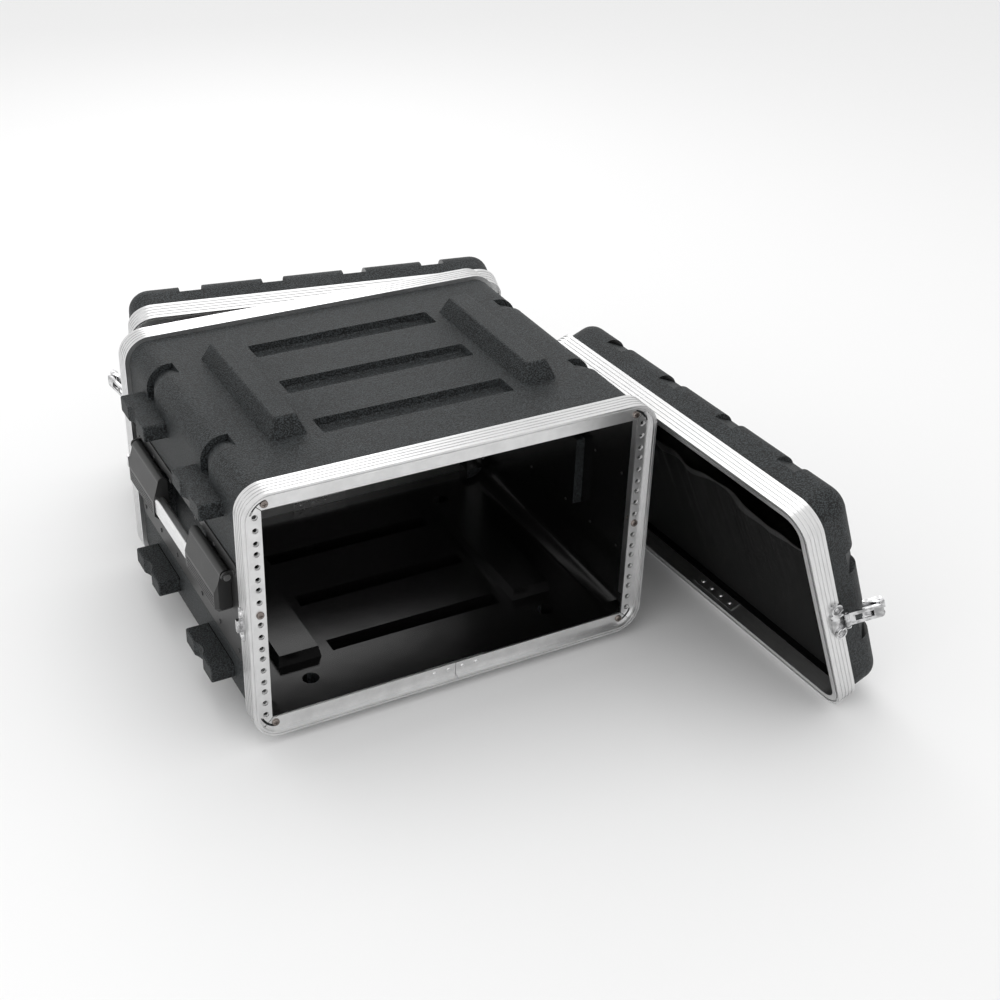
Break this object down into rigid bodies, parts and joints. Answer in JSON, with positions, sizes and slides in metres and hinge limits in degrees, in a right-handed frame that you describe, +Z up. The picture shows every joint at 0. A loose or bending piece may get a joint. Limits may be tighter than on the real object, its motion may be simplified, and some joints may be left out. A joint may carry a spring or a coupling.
{
  "type": "equipment rack case",
  "caption": "Moulded road case for 19-inch rack equipment, with fluted metal frames, drop handles, stacking ribs and two lift-off latched lids leaning on it.",
  "frame": {"origin": "on the ground under the middle of the case, on the middle rib's underside", "axes": "+Z up, -Y towards the case's front opening, +X to the right seen from the front"},
  "size_m": [0.7025, 0.9191, 0.3407],
  "materials": {
    "shell": "pebble grain outside, smooth inside",
    "rim": "satin, fluted",
    "steel": "zinc plated",
    "screw": "dark plated",
    "rivet": "plain",
    "plate": "black powder coat",
    "grip": "fine grain",
    "bar": "satin",
    "latch": "bright nickel",
    "net": "knitted net",
    "hem": "woven elastic"
  },
  "bodies": {
    "case": {"body_shell": "shell", "catch_rivets": "rivet", "catches": "latch", "front_rack_rail_left": "steel", "front_rack_rail_right": "steel", "front_valance": "rim", "handle_pins": "steel", "handle_rivets": "rivet", "left_handle_plate": "plate", "rear_rack_rail_left": "steel", "rear_rack_rail_right": "steel", "rear_valance": "rim", "right_handle_plate": "plate", "valance_screws": "screw", "valance_splice_plates": "rivet", "valance_splice_rivets": "rivet"},
    "left_handle": {"left_handle_bar": "bar", "left_handle_grips": "grip"},
    "right_handle": {"right_handle_bar": "bar", "right_handle_grips": "grip"},
    "front_lid": {"front_lid_latch_pins": "latch", "front_lid_latch_rivets": "rivet", "front_lid_left_latch_base": "latch", "front_lid_net_pocket": "net", "front_lid_pocket_hem": "hem", "front_lid_right_latch_base": "latch", "front_lid_shell": "shell", "front_lid_splice_plate": "rivet", "front_lid_splice_rivets": "rivet", "front_lid_valance": "rim"},
    "front_lid_left_arm": {"front_lid_left_latch_arm": "latch", "front_lid_left_latch_lever_pin": "latch"},
    "front_lid_left_lever": {"front_lid_left_latch_lever": "latch"},
    "front_lid_right_arm": {"front_lid_right_latch_arm": "latch", "front_lid_right_latch_lever_pin": "latch"},
    "front_lid_right_lever": {"front_lid_right_latch_lever": "latch"},
    "rear_lid": {"rear_lid_latch_pins": "latch", "rear_lid_latch_rivets": "rivet", "rear_lid_left_latch_base": "latch", "rear_lid_right_latch_base": "latch", "rear_lid_shell": "shell", "rear_lid_splice_plate": "rivet", "rear_lid_splice_rivets": "rivet", "rear_lid_valance": "rim"},
    "rear_lid_left_arm": {"rear_lid_left_latch_arm": "latch", "rear_lid_left_latch_lever_pin": "latch"},
    "rear_lid_left_lever": {"rear_lid_left_latch_lever": "latch"},
    "rear_lid_right_arm": {"rear_lid_right_latch_arm": "latch", "rear_lid_right_latch_lever_pin": "latch"},
    "rear_lid_right_lever": {"rear_lid_right_latch_lever": "latch"}
  },
  "joints": [
    {"name": "right_handle_hinge", "type": "hinge", "parent": "case", "child": "right_handle", "pos_m": [0.2508, 0.002, 0.199], "axis": [0, -1, 0], "range_deg": [0, 45]},
    {"name": "left_handle_hinge", "type": "hinge", "parent": "case", "child": "left_handle", "pos_m": [-0.2508, 0.002, 0.199], "axis": [0, 1, 0], "range_deg": [0, 90]},
    {"name": "front_lid_slide", "type": "slide", "parent": "case", "child": "front_lid", "axis": [1, 0, 0], "range_m": [0, 0.3]},
    {"name": "rear_lid_slide", "type": "slide", "parent": "case", "child": "rear_lid", "axis": [0, 1, 0], "range_m": [0, 0.3]},
    {"name": "front_lid_right_arm_hinge", "type": "hinge", "parent": "front_lid", "child": "front_lid_right_arm", "pos_m": [0.35153, -0.45347, 0.14728], "axis": [-0.3531, -0.016, 0.9354], "range_deg": [-153, 0]},
    {"name": "front_lid_right_lever_hinge", "type": "hinge", "parent": "front_lid_right_arm", "child": "front_lid_right_lever", "pos_m": [0.38714, -0.46278, 0.16056], "axis": [-0.3531, -0.016, 0.9354], "range_deg": [-40, 0]},
    {"name": "front_lid_left_arm_hinge", "type": "hinge", "parent": "front_lid", "child": "front_lid_left_arm", "pos_m": [0.32844, 0.05501, 0.14728], "axis": [0.3531, 0.016, -0.9354], "range_deg": [-153, 0]},
    {"name": "front_lid_left_lever_hinge", "type": "hinge", "parent": "front_lid_left_arm", "child": "front_lid_left_lever", "pos_m": [0.36306, 0.0675, 0.16056], "axis": [0.3531, 0.016, -0.9354], "range_deg": [-40, 0]},
    {"name": "rear_lid_right_arm_hinge", "type": "hinge", "parent": "rear_lid", "child": "rear_lid_right_arm", "pos_m": [0.30132, 0.29405, 0.14798], "axis": [-0.0518, -0.3231, 0.9449], "range_deg": [-153, 0]},
    {"name": "rear_lid_right_lever_hinge", "type": "hinge", "parent": "rear_lid_right_arm", "child": "rear_lid_right_lever", "pos_m": [0.31772, 0.32739, 0.16028], "axis": [-0.0518, -0.3231, 0.9449], "range_deg": [-40, 0]},
    {"name": "rear_lid_left_arm_hinge", "type": "hinge", "parent": "rear_lid", "child": "rear_lid_left_arm", "pos_m": [-0.20127, 0.37455, 0.14798], "axis": [0.0518, 0.3231, -0.9449], "range_deg": [-153, 0]},
    {"name": "rear_lid_left_lever_hinge", "type": "hinge", "parent": "rear_lid_left_arm", "child": "rear_lid_left_lever", "pos_m": [-0.20643, 0.41134, 0.16028], "axis": [0.0518, 0.3231, -0.9449], "range_deg": [-40, 0]}
  ]
}
